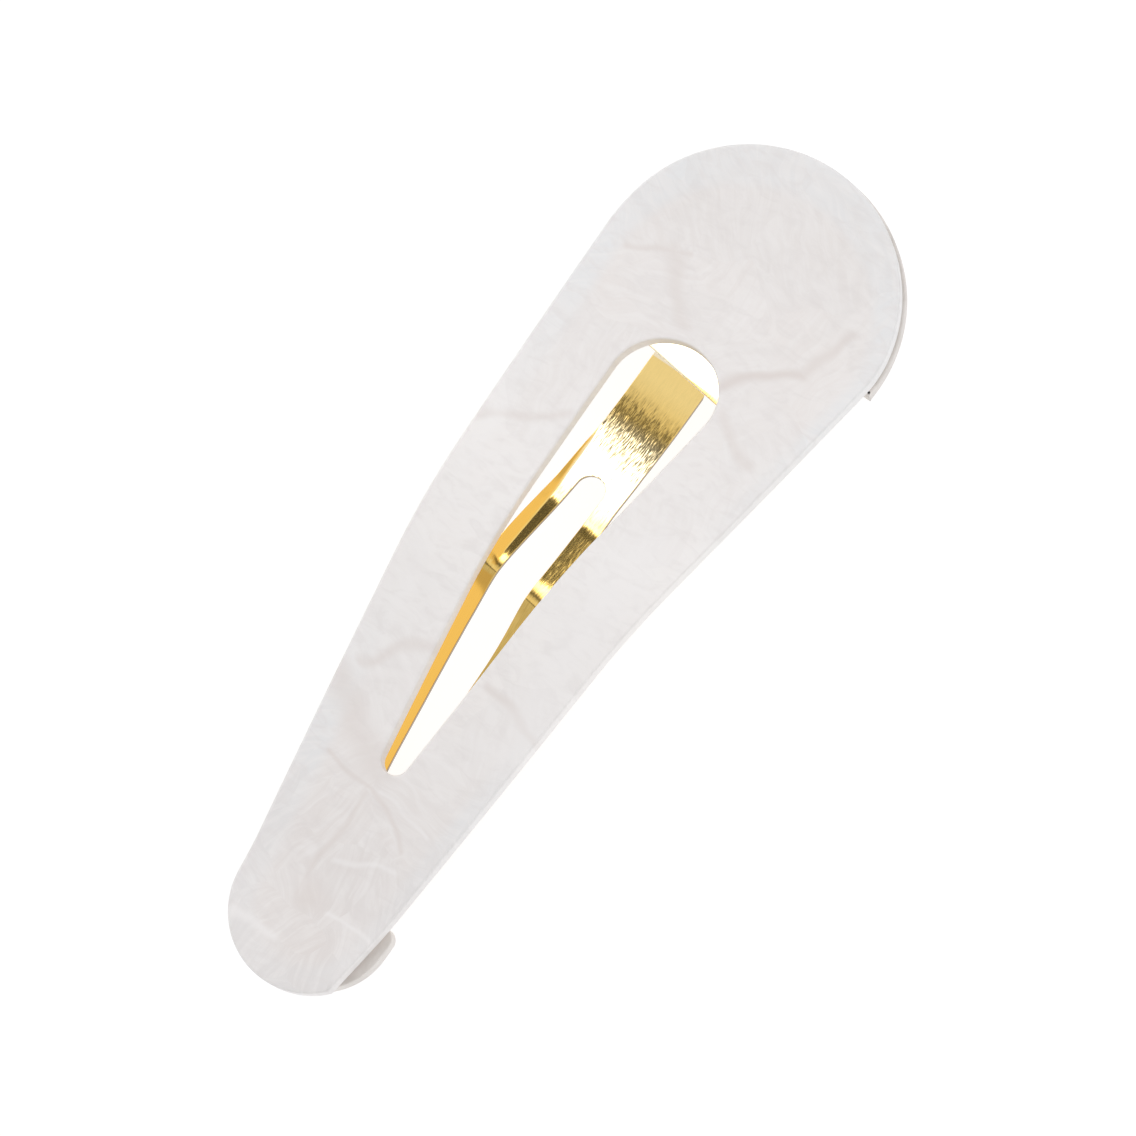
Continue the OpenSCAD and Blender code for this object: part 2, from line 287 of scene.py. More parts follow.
def underside():
    """The plate's underside in side view, as (x, z, angle)."""
    first, last = (NARROW_TIP, 0), (WIDE_TIP, 0)
    bend_a, peak, bend_b = (NARROW_TIP + NARROW_LEVEL, 0), (PEAK_X, PEAK_H), (WIDE_TIP - WIDE_LEVEL, 0)
    return [
        (NARROW_TIP - PAST_TIPS, 0, 0),
        *rounded(first, bend_a, peak, BEND_R, BEND_N),
        *rounded(bend_a, peak, bend_b, CREST_R, CREST_N),
        *rounded(peak, bend_b, last, BEND_R, BEND_N),
        (WIDE_TIP + PAST_TIPS, 0, 0),
    ]


UNDER = underside()


def height(x, d):
    """Height at x of the surface that lies d outside the plate's underside."""
    points = [(px - d * math.sin(t), pz + d * math.cos(t)) for px, pz, t in UNDER]
    for (x0, z0), (x1, z1) in zip(points, points[1:]):
        if x <= x1:
            return SEAT_Z + z0 + (z1 - z0) * (x - x0) / (x1 - x0)
    return SEAT_Z + points[-1][1]


def inward(loop, d):
    """A closed loop moved to its left by d, which is inwards where it runs anticlockwise."""
    n = len(loop)
    moved = []
    for i in range(n):
        (x0, y0), (x1, y1) = loop[i - 1], loop[(i + 1) % n]
        length = math.hypot(x1 - x0, y1 - y0)
        moved.append((loop[i][0] - d * (y1 - y0) / length, loop[i][1] + d * (x1 - x0) / length))
    return moved


def mesh_object(name, points, faces, turned_up=None):
    """A smooth-shaded object from points in millimetres, and where they lie on a turned-up edge."""
    mesh = bpy.data.meshes.new(name)
    mesh.from_pydata([Vector(p) * MM for p in points], [], faces)
    if turned_up:
        mesh.attributes.new(TURNED_UP, "FLOAT", "POINT").data.foreach_set("value", turned_up)
    obj = bpy.data.objects.new(name, mesh)
    bpy.context.scene.collection.objects.link(obj)
    fix = bmesh.new()
    fix.from_mesh(mesh)
    bmesh.ops.remove_doubles(fix, verts=fix.verts, dist=TOUCHING * MM)
    bmesh.ops.recalc_face_normals(fix, faces=fix.faces)
    fix.to_mesh(mesh)
    fix.free()
    mesh.shade_smooth()
    return obj


def ring_faces(rings, n, closed):
    """Quads between rings of n points each, and from the last ring back to the first where closed."""
    faces = []
    last = rings if closed else rings - 1
    for r in range(last):
        a, b = r * n, (r + 1) % rings * n
        faces += [(a + i, a + (i + 1) % n, b + (i + 1) % n, b + i) for i in range(n)]
    return faces


def edge_profile(thickness, radius, n):
    """(inset, depth) from the top face over a rounded edge, down the wall and round to the bottom face."""
    turns = [i * math.pi / 2 / n for i in range(n + 1)]
    quarter = [(radius * (1 - math.sin(t)), radius * (1 - math.cos(t))) for t in turns]
    wall = [(0, thickness * k / 4) for k in (1, 2, 3)]
    return quarter + wall + [(inset, thickness - depth) for inset, depth in reversed(quarter)]


def between(outer, inner, steps):
    """Loops that lead from one loop to another, without either of them."""
    return [
        [(a[0] + (b[0] - a[0]) * k / steps, a[1] + (b[1] - a[1]) * k / steps) for a, b in zip(outer, inner)]
        for k in range(1, steps)
    ]


def build_ring(name, outer, inner, thickness, radius, steps, surface):
    """A slab with a hole, with rounded edges: surface(x, depth) is its height at a depth below its top."""
    n = len(outer)
    profile = edge_profile(thickness, radius, HOLED_EDGE_N)
    points = []

    def add(loop, depth):
        points.extend((x, y, surface(x, depth)) for x, y in loop)

    # Over the outer edge and down its wall
    for inset, depth in profile:
        add(inward(outer, inset), depth)
    # Inwards along the underside
    flat = between(inward(outer, radius), inward(inner, -radius), steps)
    for loop in flat:
        add(loop, thickness)
    # Up the hole's wall and back outwards along the top
    for inset, depth in reversed(profile):
        add(inward(inner, -inset), depth)
    for loop in reversed(flat):
        add(loop, 0)
    return mesh_object(name, points, ring_faces(len(points) // n, n, True))


def window(margin):
    """The window's outline moved outwards by a margin, anticlockwise."""
    return teardrop(
        WINDOW_X - WINDOW_LEN / 2 - margin,
        WINDOW_X + WINDOW_LEN / 2 + margin,
        WINDOW_TIP_R + margin,
        WINDOW_ROUND_R + margin,
        WINDOW_SIDE_R + margin,
        WINDOW_Y,
    )[::-1]


def build_plate():
    def surface(x, depth):
        return height(x, PLATE_T - depth)

    outer, inner = plate_outline()[::-1], window(0)
    return build_ring("plate_pearl", outer, inner, PLATE_T, ACETATE_EDGE, PLATE_STEPS, surface)


def build_slab(name, outline, thickness):
    """A flat slab on the ground with rounded edges, from an anticlockwise outline."""
    n = len(outline)
    points = []
    for inset, depth in edge_profile(thickness, ACETATE_EDGE, PLAIN_EDGE_N):
        points += [(x, y, thickness - depth) for x, y in inward(outline, inset)]
    # A second loop inside each flat face keeps its shading flat
    flat = inward(outline, 2 * ACETATE_EDGE)
    points = [(x, y, thickness) for x, y in flat] + points + [(x, y, 0) for x, y in flat]
    rings = len(points) // n
    faces = ring_faces(rings, n, False)
    faces += [tuple(range(n)), tuple(range((rings - 1) * n, rings * n))]
    return mesh_object(name, points, faces)


def build_wide_pad():
    cut = WIDE_TIP + WIDE_PAD_OVER - WIDE_PAD_LEN
    shifted = [(x + WIDE_PAD_OVER, y) for x, y in plate_outline()[::-1]]
    kept = [p for p in shifted if p[0] > cut]
    # The loop starts at the narrow tip, so what is kept is one run from the near side to the far side
    start, end = kept[0], kept[-1]
    across = 20
    chord = [(cut, end[1] + (start[1] - end[1]) * k / across) for k in range(across + 1)]
    return build_slab("wide_pad_pearl", kept + chord, PAD_T)


def build_narrow_pad():
    pad_x = NARROW_TIP + NARROW_PAD_IN + NARROW_PAD_R
    corner_x = NARROW_TIP + NARROW_PAD_LEN - PAD_CORNER_R
    corner_y = NARROW_PAD_R - PAD_CORNER_R
    outline = (
        arc((pad_x, 0), NARROW_PAD_R, 90, 270, PAD_ROUND_N)
        + arc((corner_x, -corner_y), PAD_CORNER_R, 270, 360, PAD_CORNER_N)
        + arc((corner_x, corner_y), PAD_CORNER_R, 0, 90, PAD_CORNER_N)
    )
    outline = [(x, y - NARROW_PAD_SKEW) for x, y in outline]
    hole = [RIVET_HOLE, RIVET_Y]
    angles = [angle_of(hole, p) for p in outline]
    inner = [arc(hole, RIVET_HOLE_R, a, a, 1)[0] for a in angles]

    def surface(x, depth):
        return PAD_T - depth

    return build_ring("narrow_pad_pearl", outline, inner, PAD_T, ACETATE_EDGE / 2, PAD_STEPS, surface)


def chord_x(y):
    """Where the frame's cut-out ends, along the slanted crease."""
    return CREASE_X + CREASE_GAP + CREASE_SLANT * (y - TONGUE_Y)


def cutout():
    """The window's outline moved out, cut off straight along the crease."""
    loop = window(CUTOUT_MARGIN)
    past = [i for i, (x, y) in enumerate(loop) if x > chord_x(y)]
    first, last = past[0], past[-1]
    y0, y1 = loop[first - 1][1], loop[last + 1][1]
    count = last - first + 2
    for k, i in enumerate(past, 1):
        y = y0 + (y1 - y0) * k / count
        loop[i] = (chord_x(y), y)
    return loop


def build_frame():
    outer = teardrop(
        NARROW_TIP + FRAME_NARROW_IN,
        WIDE_TIP - FRAME_WIDE_IN,
        NARROW_R - FRAME_INSET,
        WIDE_R - FRAME_INSET,
        SIDE_R - FRAME_INSET,
        0,
    )[::-1]

    def surface(x, depth):
        return height(x, -SEAT_GAP - depth)

    return build_ring("frame_sheet", outer, cutout(), SHEET_T, SHEET_EDGE, FRAME_STEPS, surface)


def curve_through(xs, ys):
    """A smooth curve through points that never swings past them, as a function of x."""
    n = len(xs)
    steps = [(ys[i + 1] - ys[i]) / (xs[i + 1] - xs[i]) for i in range(n - 1)]
    inner = [0 if a * b <= 0 else 2 * a * b / (a + b) for a, b in zip(steps, steps[1:])]
    slopes = [steps[0], *inner, steps[-1]]

    def at(x):
        i = held(bisect(xs, x) - 1, n - 2)
        h = xs[i + 1] - xs[i]
        t = held((x - xs[i]) / h)
        ends = ys[i] * (1 + 2 * t) * (1 - t) ** 2 + ys[i + 1] * t * t * (3 - 2 * t)
        return ends + h * t * (1 - t) * (slopes[i] * (1 - t) - slopes[i + 1] * t)

    return at


def bends_through(xs, ys):
    """Straight lines through points, rounded over BEND_SOFT at each of them, as a function of x."""
    n = len(xs)
    steps = [(ys[i + 1] - ys[i]) / (xs[i + 1] - xs[i]) for i in range(n - 1)]
    turns = [b - a for a, b in zip(steps, steps[1:])]

    def at(x):
        y = ys[0] + steps[0] * (x - xs[0])
        for corner, turn in zip(xs[1:-1], turns):
            past = held(x - corner + BEND_SOFT / 2, BEND_SOFT)
            y += turn * (past * past / (2 * BEND_SOFT) + max(x - corner - BEND_SOFT / 2, 0))
        return y

    return at


ALONG = [row.along * TONGUE_LEN for row in SECTIONS]
fold_at = curve_through(ALONG, [row.fold * TONGUE_W / 2 for row in SECTIONS])
edge_at = curve_through(ALONG, [row.edge * TONGUE_W / 2 for row in SECTIONS])
PLATE_OVER = [height(CREASE_X - s, 0) for s in ALONG]
flat_z_at = bends_through(ALONG, [z - row.flat_depth * TONGUE_DEPTH for z, row in zip(PLATE_OVER, SECTIONS)])
edge_z_at = bends_through(ALONG, [z - row.edge_depth * TONGUE_DEPTH for z, row in zip(PLATE_OVER, SECTIONS)])

# The slot's two ends and the centres of their arcs, along X
SLOT_X0 = CREASE_X - SLOT_START
SLOT_X1 = CREASE_X - TONGUE_LEN + SLOT_TIP_IN
SLOT_C0 = SLOT_X0 - SLOT_R
SLOT_C1 = SLOT_X1 + SLOT_TIP_R
slot_side = curve_through(
    [-SLOT_C0, *(-SLOT_X0 - row.reach * (SLOT_X1 - SLOT_X0) for row in SPREADS), -SLOT_C1],
    [SLOT_R, *(row.spread * SLOT_HALF_W for row in SPREADS), SLOT_TIP_R],
)


def slot_half(x):
    """Half the slot's width at a place along the clip, 0 past its ends."""
    if x >= SLOT_C0:
        return math.sqrt(max(SLOT_R**2 - (x - SLOT_C0) ** 2, 0))
    if x <= SLOT_C1:
        return math.sqrt(max(SLOT_TIP_R**2 - (x - SLOT_C1) ** 2, 0))
    return slot_side(-x)


def tongue_stations():
    """Places along the tongue's middle line, close together at its first fold and the slot's ends."""
    places = [CREASE_X - TONGUE_LEN * k / TONGUE_STEPS for k in range(TONGUE_STEPS + 1)]
    fold = [FOLD_FROM + FOLD_SPAN * k / FOLD_STEPS for k in range(FOLD_STEPS + 1)]
    places += [CREASE_X - TONGUE_LEN * share for share in fold]
    places += [SLOT_C0 + SLOT_R * math.cos(math.radians(a)) for a in range(0, 90, ROUND_STEP)]
    places += [SLOT_C1 - SLOT_TIP_R * math.cos(math.radians(a)) for a in range(0, 90, NARROW_STEP)]
    places.sort(reverse=True)
    kept = [places[0]]
    for x in places[1:]:
        if kept[-1] - x > CLOSE or x in (SLOT_X0, SLOT_X1):
            kept.append(x)
    return kept


def slanted(x):
    """Share of the creases' slant at a place: all of it at both ends, and none along the slot."""
    into = held(max(x - SLOT_X0, SLOT_X1 - x) / SLANT_FADE)
    return into * into * (3 - 2 * into)


def tongue_point(x, side, share, under):
    """A point of the top or underside, at a share of the way from slot to edge, and if it is turned up."""
    s = CREASE_X - x
    inner = slot_half(x)
    y = side * (inner + (edge_at(s) - inner) * share)
    shift = CREASE_SLANT * y
    place = x + shift * slanted(x)
    # The sections are slanted all along, also where the points aren't
    s = CREASE_X - (place - shift)
    u, run = abs(y) - fold_at(s), max(edge_at(s) - fold_at(s), FOLD_SOFT)
    rise = (edge_z_at(s) - flat_z_at(s)) / run
    if side < 0:
        rise *= held((s / TONGUE_LEN - NEAR_TURN) / (NEAR_TURNED - NEAR_TURN))
    bend = math.hypot(u, FOLD_SOFT)
    z = flat_z_at(s) + height(place, 0) - height(place - shift, 0) + rise * (u + bend) / 2
    if under:
        lean = rise * (1 + u / bend) / 2
        z -= SHEET_T * math.hypot(1, lean)
        # The end at the crease is cut back, which leaves room for the swing
        place -= SHEET_T * math.tan(math.radians(OPEN_ANGLE + SWING_SPARE)) * max(0, 1 - (CREASE_X - x))
    elif x == CREASE_X:
        place += CREASE_GAP - SEAM
    turned_up = held(u / FOLD_SOFT) if rise > TURNED_SLOPE and side > 0 else 0
    return (place, y + TONGUE_Y, z), turned_up


TONGUE_COLUMNS = 24


def build_tongue():
    places = tongue_stations()
    rows, columns = len(places), TONGUE_COLUMNS + 1
    points, turned_up = zip(*[
        tongue_point(x, side, j / TONGUE_COLUMNS, under)
        for side in (-1, 1)
        for under in (False, True)
        for x in places
        for j in range(columns)
    ])
    layer = rows * columns
    faces = []
    for base in (0, 2 * layer):
        for i in range(rows - 1):
            for j in range(TONGUE_COLUMNS):
                a = base + i * columns + j
                quad = (a, a + 1, a + 1 + columns, a + columns)
                faces += [quad, tuple(k + layer for k in quad)]
            # The outer edge, and the slot's wall where there is one
            a = base + i * columns
            b = a + TONGUE_COLUMNS
            faces.append((b, b + columns, b + columns + layer, b + layer))
            if slot_half(places[i]) > 0 or slot_half(places[i + 1]) > 0:
                faces.append((a, a + columns, a + columns + layer, a + layer))
        for end in (0, (rows - 1) * columns):
            for j in range(TONGUE_COLUMNS):
                a = base + end + j
                faces.append((a, a + 1, a + 1 + layer, a + layer))
    tongue = mesh_object("tongue_sheet", points, faces, turned_up)
    bevel = tongue.modifiers.new("edges", "BEVEL")
    bevel.width = SHEET_EDGE * MM
    bevel.segments = 2
    bevel.limit_method = "ANGLE"
    bevel.angle_limit = math.radians(SHARP_ANGLE)
    bevel.use_clamp_overlap = False
    bevel.harden_normals = True
    return tongue


# Materials


class Nodes:
    """Adds nodes to a tree: a socket or a value can be given for each input by its name or number."""

    def __init__(self, tree):
        self.tree = tree

    def add(self, kind, inputs=(), **settings):
        node = self.tree.nodes.new(kind)
        for key, value in settings.items():
            setattr(node, key, value)
        for key, value in dict(inputs).items():
            if isinstance(value, bpy.types.NodeSocket):
                self.tree.links.new(value, node.inputs[key])
            else:
                node.inputs[key].default_value = value
        return node

    def math(self, operation, a, b=0.0):
        return self.add("ShaderNodeMath", {0: a, 1: b}, operation=operation).outputs[0]

    def vector(self, operation, a, b, output=0):
        return self.add("ShaderNodeVectorMath", {0: a, 1: b}, operation=operation).outputs[output]

    def scaled(self, vector, factor):
        return self.add("ShaderNodeVectorMath", {0: vector, "Scale": factor}, operation="SCALE").outputs[0]

    def ranged(self, value, low, high, to_low=0.0, to_high=1.0):
        """A value carried smoothly from one range to another, held at its ends."""
        inputs = {"Value": value, "From Min": low, "From Max": high, "To Min": to_low, "To Max": to_high}
        return self.add("ShaderNodeMapRange", inputs, interpolation_type="SMOOTHSTEP").outputs[0]

    def noise(self, place, scale, detail=2.0, roughness=0.5, distortion=0.0):
        inputs = {"Vector": place, "Scale": scale, "Detail": detail, "Roughness": roughness,
                  "Distortion": distortion}
        return self.add("ShaderNodeTexNoise", inputs).outputs["Fac"]

    def mixed(self, factor, a, b):
        """Colour a, going over to colour b as the factor rises."""
        node = self.add("ShaderNodeMix", {"Factor": factor}, data_type="RGBA")
        for socket, value in ((node.inputs[6], a), (node.inputs[7], b)):
            if isinstance(value, bpy.types.NodeSocket):
                self.tree.links.new(value, socket)
            else:
                socket.default_value = (*value, 1)
        return node.outputs[2]

    def millimetres(self, stretch=(1, 1, 1)):
        """The place on the object in millimetres, divided along each axis by how far marks are drawn out."""
        place = self.add("ShaderNodeTexCoord").outputs["Object"]
        scale = [1000 / s for s in stretch]
        return self.vector("MULTIPLY", place, scale)


def new_material(name):
    mat = bpy.data.materials.new(name)
    mat.use_nodes = True
    tree = mat.node_tree
    return mat, Nodes(tree), tree.nodes["Principled BSDF"]


def stroke(nodes, place, start, end, width):
    """A soft mark from start to end, in plan, as wide as width to each side."""
    along = (end[0] - start[0], end[1] - start[1], 0)
    length = along[0] ** 2 + along[1] ** 2
    from_start = nodes.vector("SUBTRACT", place, (*start, 0))
    share = nodes.math("DIVIDE", nodes.vector("DOT_PRODUCT", from_start, along, "Value"), length)
    share.node.use_clamp = True
    distance = nodes.vector("DISTANCE", from_start, nodes.scaled(along, share), "Value")
    return nodes.ranged(distance, width, 0.0)


Mark = namedtuple("Mark", "start end width strength")
# Warm, darker folds in the pearl
WARM_MARKS = [
    Mark((27.3, 7.2), (22.6, 2.3), 1.1, 0.45),
    Mark((25.7, 10.5), (27.7, 5.8), 0.5, 0.5),
    Mark((20.0, -3.4), (24.4, -8.1), 0.9, 0.9),
    Mark((24.4, -8.1), (29.7, -9.0), 0.7, 0.6),
    Mark((18.0, -4.8), (15.8, -9.0), 1.0, 0.5),
    Mark((6.9, 11.1), (11.0, 4.7), 0.7, 0.45),
    Mark((-15.0, 7.4), (-10.0, 2.0), 0.8, 0.5),
    Mark((-16.9, 8.8), (-21.4, 1.1), 2.2, 0.5),
    Mark((-10.9, -2.7), (-12.5, -9.0), 0.8, 0.6),
    Mark((-22.5, 5.5), (-22.9, 0.5), 0.4, 0.6),
    Mark((-22.9, 0.5), (-25.5, -4.3), 0.4, 0.6),
    Mark((-23.5, 0.6), (-32.9, 1.4), 0.5, 0.5),
    Mark((-32.8, 0.3), (-32.6, 0.3), 2.4, 0.6),
]
# Bright streaks in it
BRIGHT_MARKS = [
    Mark((-29.3, -0.2), (-27.3, -4.5), 0.4, 0.9),
    Mark((-33.1, -1.8), (-33.2, -6.0), 0.4, 0.9),
    Mark((-37.1, 4.3), (-37.0, 0.9), 0.8, 1.0),
    Mark((-22.8, -0.4), (-23.8, -5.3), 0.35, 0.8),
    Mark((-29.9, 2.0), (-29.5, 2.0), 1.0, 0.8),
    Mark((8.5, 6.7), (9.5, 3.9), 0.6, 0.6),
    Mark((5.0, -7.0), (-14.0, -7.5), 3.4, 0.8),
    Mark((13.7, 11.0), (2.7, 9.1), 1.2, 0.5),
    Mark((-9.5, 6.5), (-5.0, 7.5), 1.2, 0.5),
    Mark((33.6, 3.2), (29.7, -12.6), 1.5, 0.3),
]


def painted(nodes, place, marks):
    """The strongest of the marks at each place."""
    total = 0.0
    for mark in marks:
        drawn = stroke(nodes, place, mark.start, mark.end, mark.width)
        total = nodes.math("MAXIMUM", nodes.math("MULTIPLY", drawn, mark.strength), total)
    return total


# Middle of the faint ring in the wide end, its radius and half its width
RING_X, RING_R, RING_W = 31, 7.9, 0.9
# How far the frame's warm tone is seen shifted through the plate, and how soft its edge is
SEEN_SHIFT = -0.5
SEEN_SOFT = 0.7


def frame_behind(nodes, place):
    """Where the frame lies behind the plate, as a soft mask in plan."""
    narrow_r, wide_r = NARROW_R - FRAME_INSET, WIDE_R - FRAME_INSET
    start = NARROW_TIP + FRAME_NARROW_IN + narrow_r
    length = WIDE_TIP - FRAME_WIDE_IN - wide_r - start
    from_start = nodes.vector("SUBTRACT", place, (start, SEEN_SHIFT, 0))
    share = nodes.math("DIVIDE", nodes.vector("DOT_PRODUCT", from_start, (1, 0, 0), "Value"), length)
    share.node.use_clamp = True
    nearest = nodes.scaled((length, 0, 0), share)
    distance = nodes.vector("DISTANCE", from_start, nearest, "Value")
    reach = nodes.math("MULTIPLY_ADD", share, wide_r - narrow_r)
    reach.node.inputs[2].default_value = narrow_r
    return nodes.ranged(nodes.math("SUBTRACT", reach, distance), -SEEN_SOFT, SEEN_SOFT)


# The pearl's tones: over bare acetate and over the frame, at the crest (lighter, painted light where the
# bow's top faces the light) and at the narrow end
RIM_TONE = (0.835, 0.834, 0.842)
INSIDE_TONE = (0.85, 0.808, 0.79)
CREST_LIGHT_TONE = (0.91, 0.878, 0.862)
NARROW_TONE = (0.7, 0.64, 0.62)
# Distances from the crest between which its tone fades, and the places between which the other grows
CREST_FADE = (4, 24)
NARROW_FADE = (-18, -32)
# Tones of the leaves, the folds, the fibres in each leaf, the fibres across, the ring and the marks
LEAF_TONE = (0.785, 0.752, 0.742)
FOLD_TONE = (0.885, 0.865, 0.862)
FIBRE_TONE = (0.91, 0.885, 0.875)
CROSS_TONE = (0.76, 0.72, 0.71)
RING_TONE = (0.8, 0.765, 0.75)
WARM_TONE = (0.765, 0.705, 0.68)
BRIGHT_TONE = (0.91, 0.885, 0.88)
# Share of their strengths that the bright marks are painted with
BRIGHT_SHARE = 0.6


def pearl_material():
    """White pearl acetate: folded satin leaves, each with fine fibres its own way, over the frame."""
    mat, nodes, shader = new_material("pearl_acetate")
    place = nodes.millimetres()
    flat = nodes.vector("MULTIPLY", place, (1, 1, 0))
    drift = nodes.add("ShaderNodeTexNoise", {"Vector": flat, "Scale": 0.22, "Detail": 1.0}).outputs["Color"]
    wander = nodes.vector("MULTIPLY", nodes.vector("SUBTRACT", drift, (0.5, 0.5, 0.5)), (2.4, 2.4, 0))
    warped = nodes.vector("ADD", flat, wander)
    leaves = nodes.add("ShaderNodeTexVoronoi", {"Vector": warped, "Scale": 0.16}).outputs["Color"]
    leaf = nodes.vector("DOT_PRODUCT", leaves, (1, 0, 0), "Value")
    folds = nodes.noise(warped, 0.14, 2.0, 0.5, 0.6)
    turn = nodes.math("MULTIPLY", leaf, math.pi)
    turned = nodes.add("ShaderNodeVectorRotate", {"Vector": warped, "Angle": turn}, rotation_type="Z_AXIS")
    fibres = nodes.noise(nodes.vector("MULTIPLY", turned.outputs[0], (0.22, 1.5, 1)), 1.0, 4.0, 0.6, 0.8)
    cross = nodes.noise(nodes.millimetres((1.0, 2.2, 2.0)), 0.9, 4.0, 0.6, 1.2)
    along = nodes.add("ShaderNodeSeparateXYZ", {0: flat}).outputs["X"]
    behind = nodes.mixed(frame_behind(nodes, flat), RIM_TONE, INSIDE_TONE)
    from_crest = nodes.math("ABSOLUTE", nodes.math("SUBTRACT", along, PEAK_X))
    # Painted light: a lighter tone along the crest, fading away from it
    behind = nodes.mixed(nodes.ranged(from_crest, *CREST_FADE), CREST_LIGHT_TONE, behind)
    behind = nodes.mixed(nodes.ranged(along, *NARROW_FADE, 0.0, 0.4), behind, NARROW_TONE)
    leafed = nodes.mixed(nodes.ranged(leaf, 0.0, 1.0, 0.0, 0.3), behind, LEAF_TONE)
    folded = nodes.mixed(nodes.ranged(folds, 0.35, 0.65, 0.0, 0.3), leafed, FOLD_TONE)
    fibred = nodes.mixed(nodes.ranged(fibres, 0.35, 0.7, 0.0, 0.5), folded, FIBRE_TONE)
    crossed = nodes.mixed(nodes.ranged(cross, 0.42, 0.72, 0.0, 0.35), fibred, CROSS_TONE)
    from_ring = nodes.math("SUBTRACT", nodes.vector("DISTANCE", flat, (RING_X, 0, 0), "Value"), RING_R)
    ring = nodes.ranged(nodes.math("ABSOLUTE", from_ring), RING_W, 0.0, 0.0, 0.2)
    ringed = nodes.mixed(ring, crossed, RING_TONE)
    warm = nodes.mixed(painted(nodes, warped, WARM_MARKS), ringed, WARM_TONE)
    bright_marks = nodes.math("MULTIPLY", painted(nodes, warped, BRIGHT_MARKS), BRIGHT_SHARE)
    bright = nodes.mixed(bright_marks, warm, BRIGHT_TONE)
    nodes.tree.links.new(bright, shader.inputs["Base Color"])
    rough = nodes.ranged(folds, 0.3, 0.7, 0.32, 0.42)
    nodes.tree.links.new(rough, shader.inputs["Roughness"])
    shader.inputs["Specular IOR Level"].default_value = 0.25
    return mat


# The pads' two tones, and their fibres', darker and browner than the plate's as painted shade under the
# plate
PAD_DARK = (0.7, 0.655, 0.62)
PAD_LIGHT = (0.79, 0.745, 0.715)
PAD_FIBRE = (0.79, 0.76, 0.73)


def pad_material():
    """The pads' acetate: the plate's pearl, painted darker and browner as shade under the plate."""
    mat, nodes, shader = new_material("pad_acetate_painted_shade")
    place = nodes.millimetres()
    folds = nodes.noise(place, 0.3, 3.0, 0.55, 1.2)
    fibres = nodes.noise(nodes.millimetres((3.0, 0.5, 1.0)), 1.2, 3.0, 0.6, 0.5)
    ground = nodes.mixed(nodes.ranged(folds, 0.35, 0.65), PAD_DARK, PAD_LIGHT)
    fibred = nodes.mixed(nodes.ranged(fibres, 0.4, 0.7, 0.0, 0.35), ground, PAD_FIBRE)
    nodes.tree.links.new(fibred, shader.inputs["Base Color"])
    rough = nodes.ranged(fibres, 0.3, 0.7, 0.38, 0.5)
    nodes.tree.links.new(rough, shader.inputs["Roughness"])
    shader.inputs["Specular IOR Level"].default_value = 0.3
    return mat


# How far the brushing tilts the metal's surface, as a slope for a noise of 0 to 1
BRUSH_TILT = 0.3
# The gold's two tones, its darker streaks, a paler tone by the crease that is a painted highlight, and an
# orange tone on the turned-up edge that is a painted reflection of the gold beside it
DEEP_GOLD = (0.965, 0.65, 0.19)
LIGHT_GOLD = (1.0, 0.695, 0.22)
STREAK_GOLD = (0.72, 0.47, 0.12)
CREASE_HIGHLIGHT_GOLD = (0.99, 0.735, 0.285)
EDGE_REFLECTION_GOLD = (0.955, 0.553, 0.112)
# Place from which the strip has a painted highlight, pale like a blown reflection, and the painted
# highlight's tone there and at the frame's root
HIGHLIGHT_FROM = 6
HIGHLIGHT_TONE = (1.0, 0.83, 0.5)
ROOT_HIGHLIGHT_TONE = (1.0, 0.87, 0.62)
# Tones of the cut edges and of the tongue's own, both darker than the faces as painted shade, the tongue's
# nearly black
CUT_GOLD = (0.8, 0.6, 0.25)
SHADED_CUT_GOLD = (0.25, 0.16, 0.055)


